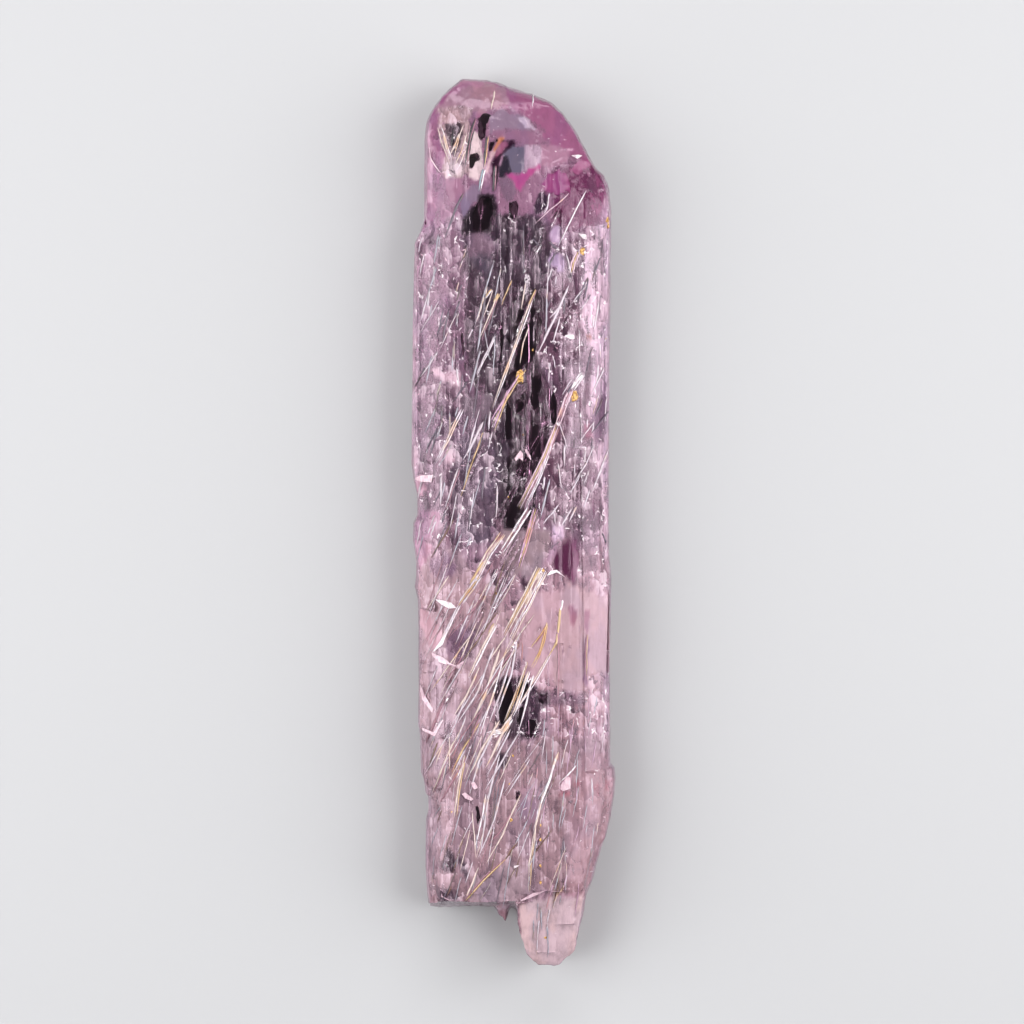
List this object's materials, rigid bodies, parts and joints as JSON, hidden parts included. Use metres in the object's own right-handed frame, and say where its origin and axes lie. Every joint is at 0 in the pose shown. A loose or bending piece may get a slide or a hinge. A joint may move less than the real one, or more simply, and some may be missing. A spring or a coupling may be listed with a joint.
{
  "type": "kunzite crystal",
  "caption": "Long flattened see-through pink crystal with a rounded etched top, striated faces and a broken lower end.",
  "frame": {"origin": "on the ground under the middle of the crystal's box, at the broad back face that it lies on", "axes": "+X across the crystal, +Y along it towards the rounded top, +Z out of the broad front face"},
  "size_m": [0.024, 0.104, 0.0106],
  "materials": {
    "kunzite": "see-through pale lilac-pink crystal, index 1.66, glossy striated faces, frosted etched top, white and golden etch channels inside"
  },
  "bodies": {
    "root": {"crystal": "kunzite"}
  },
  "joints": []
}
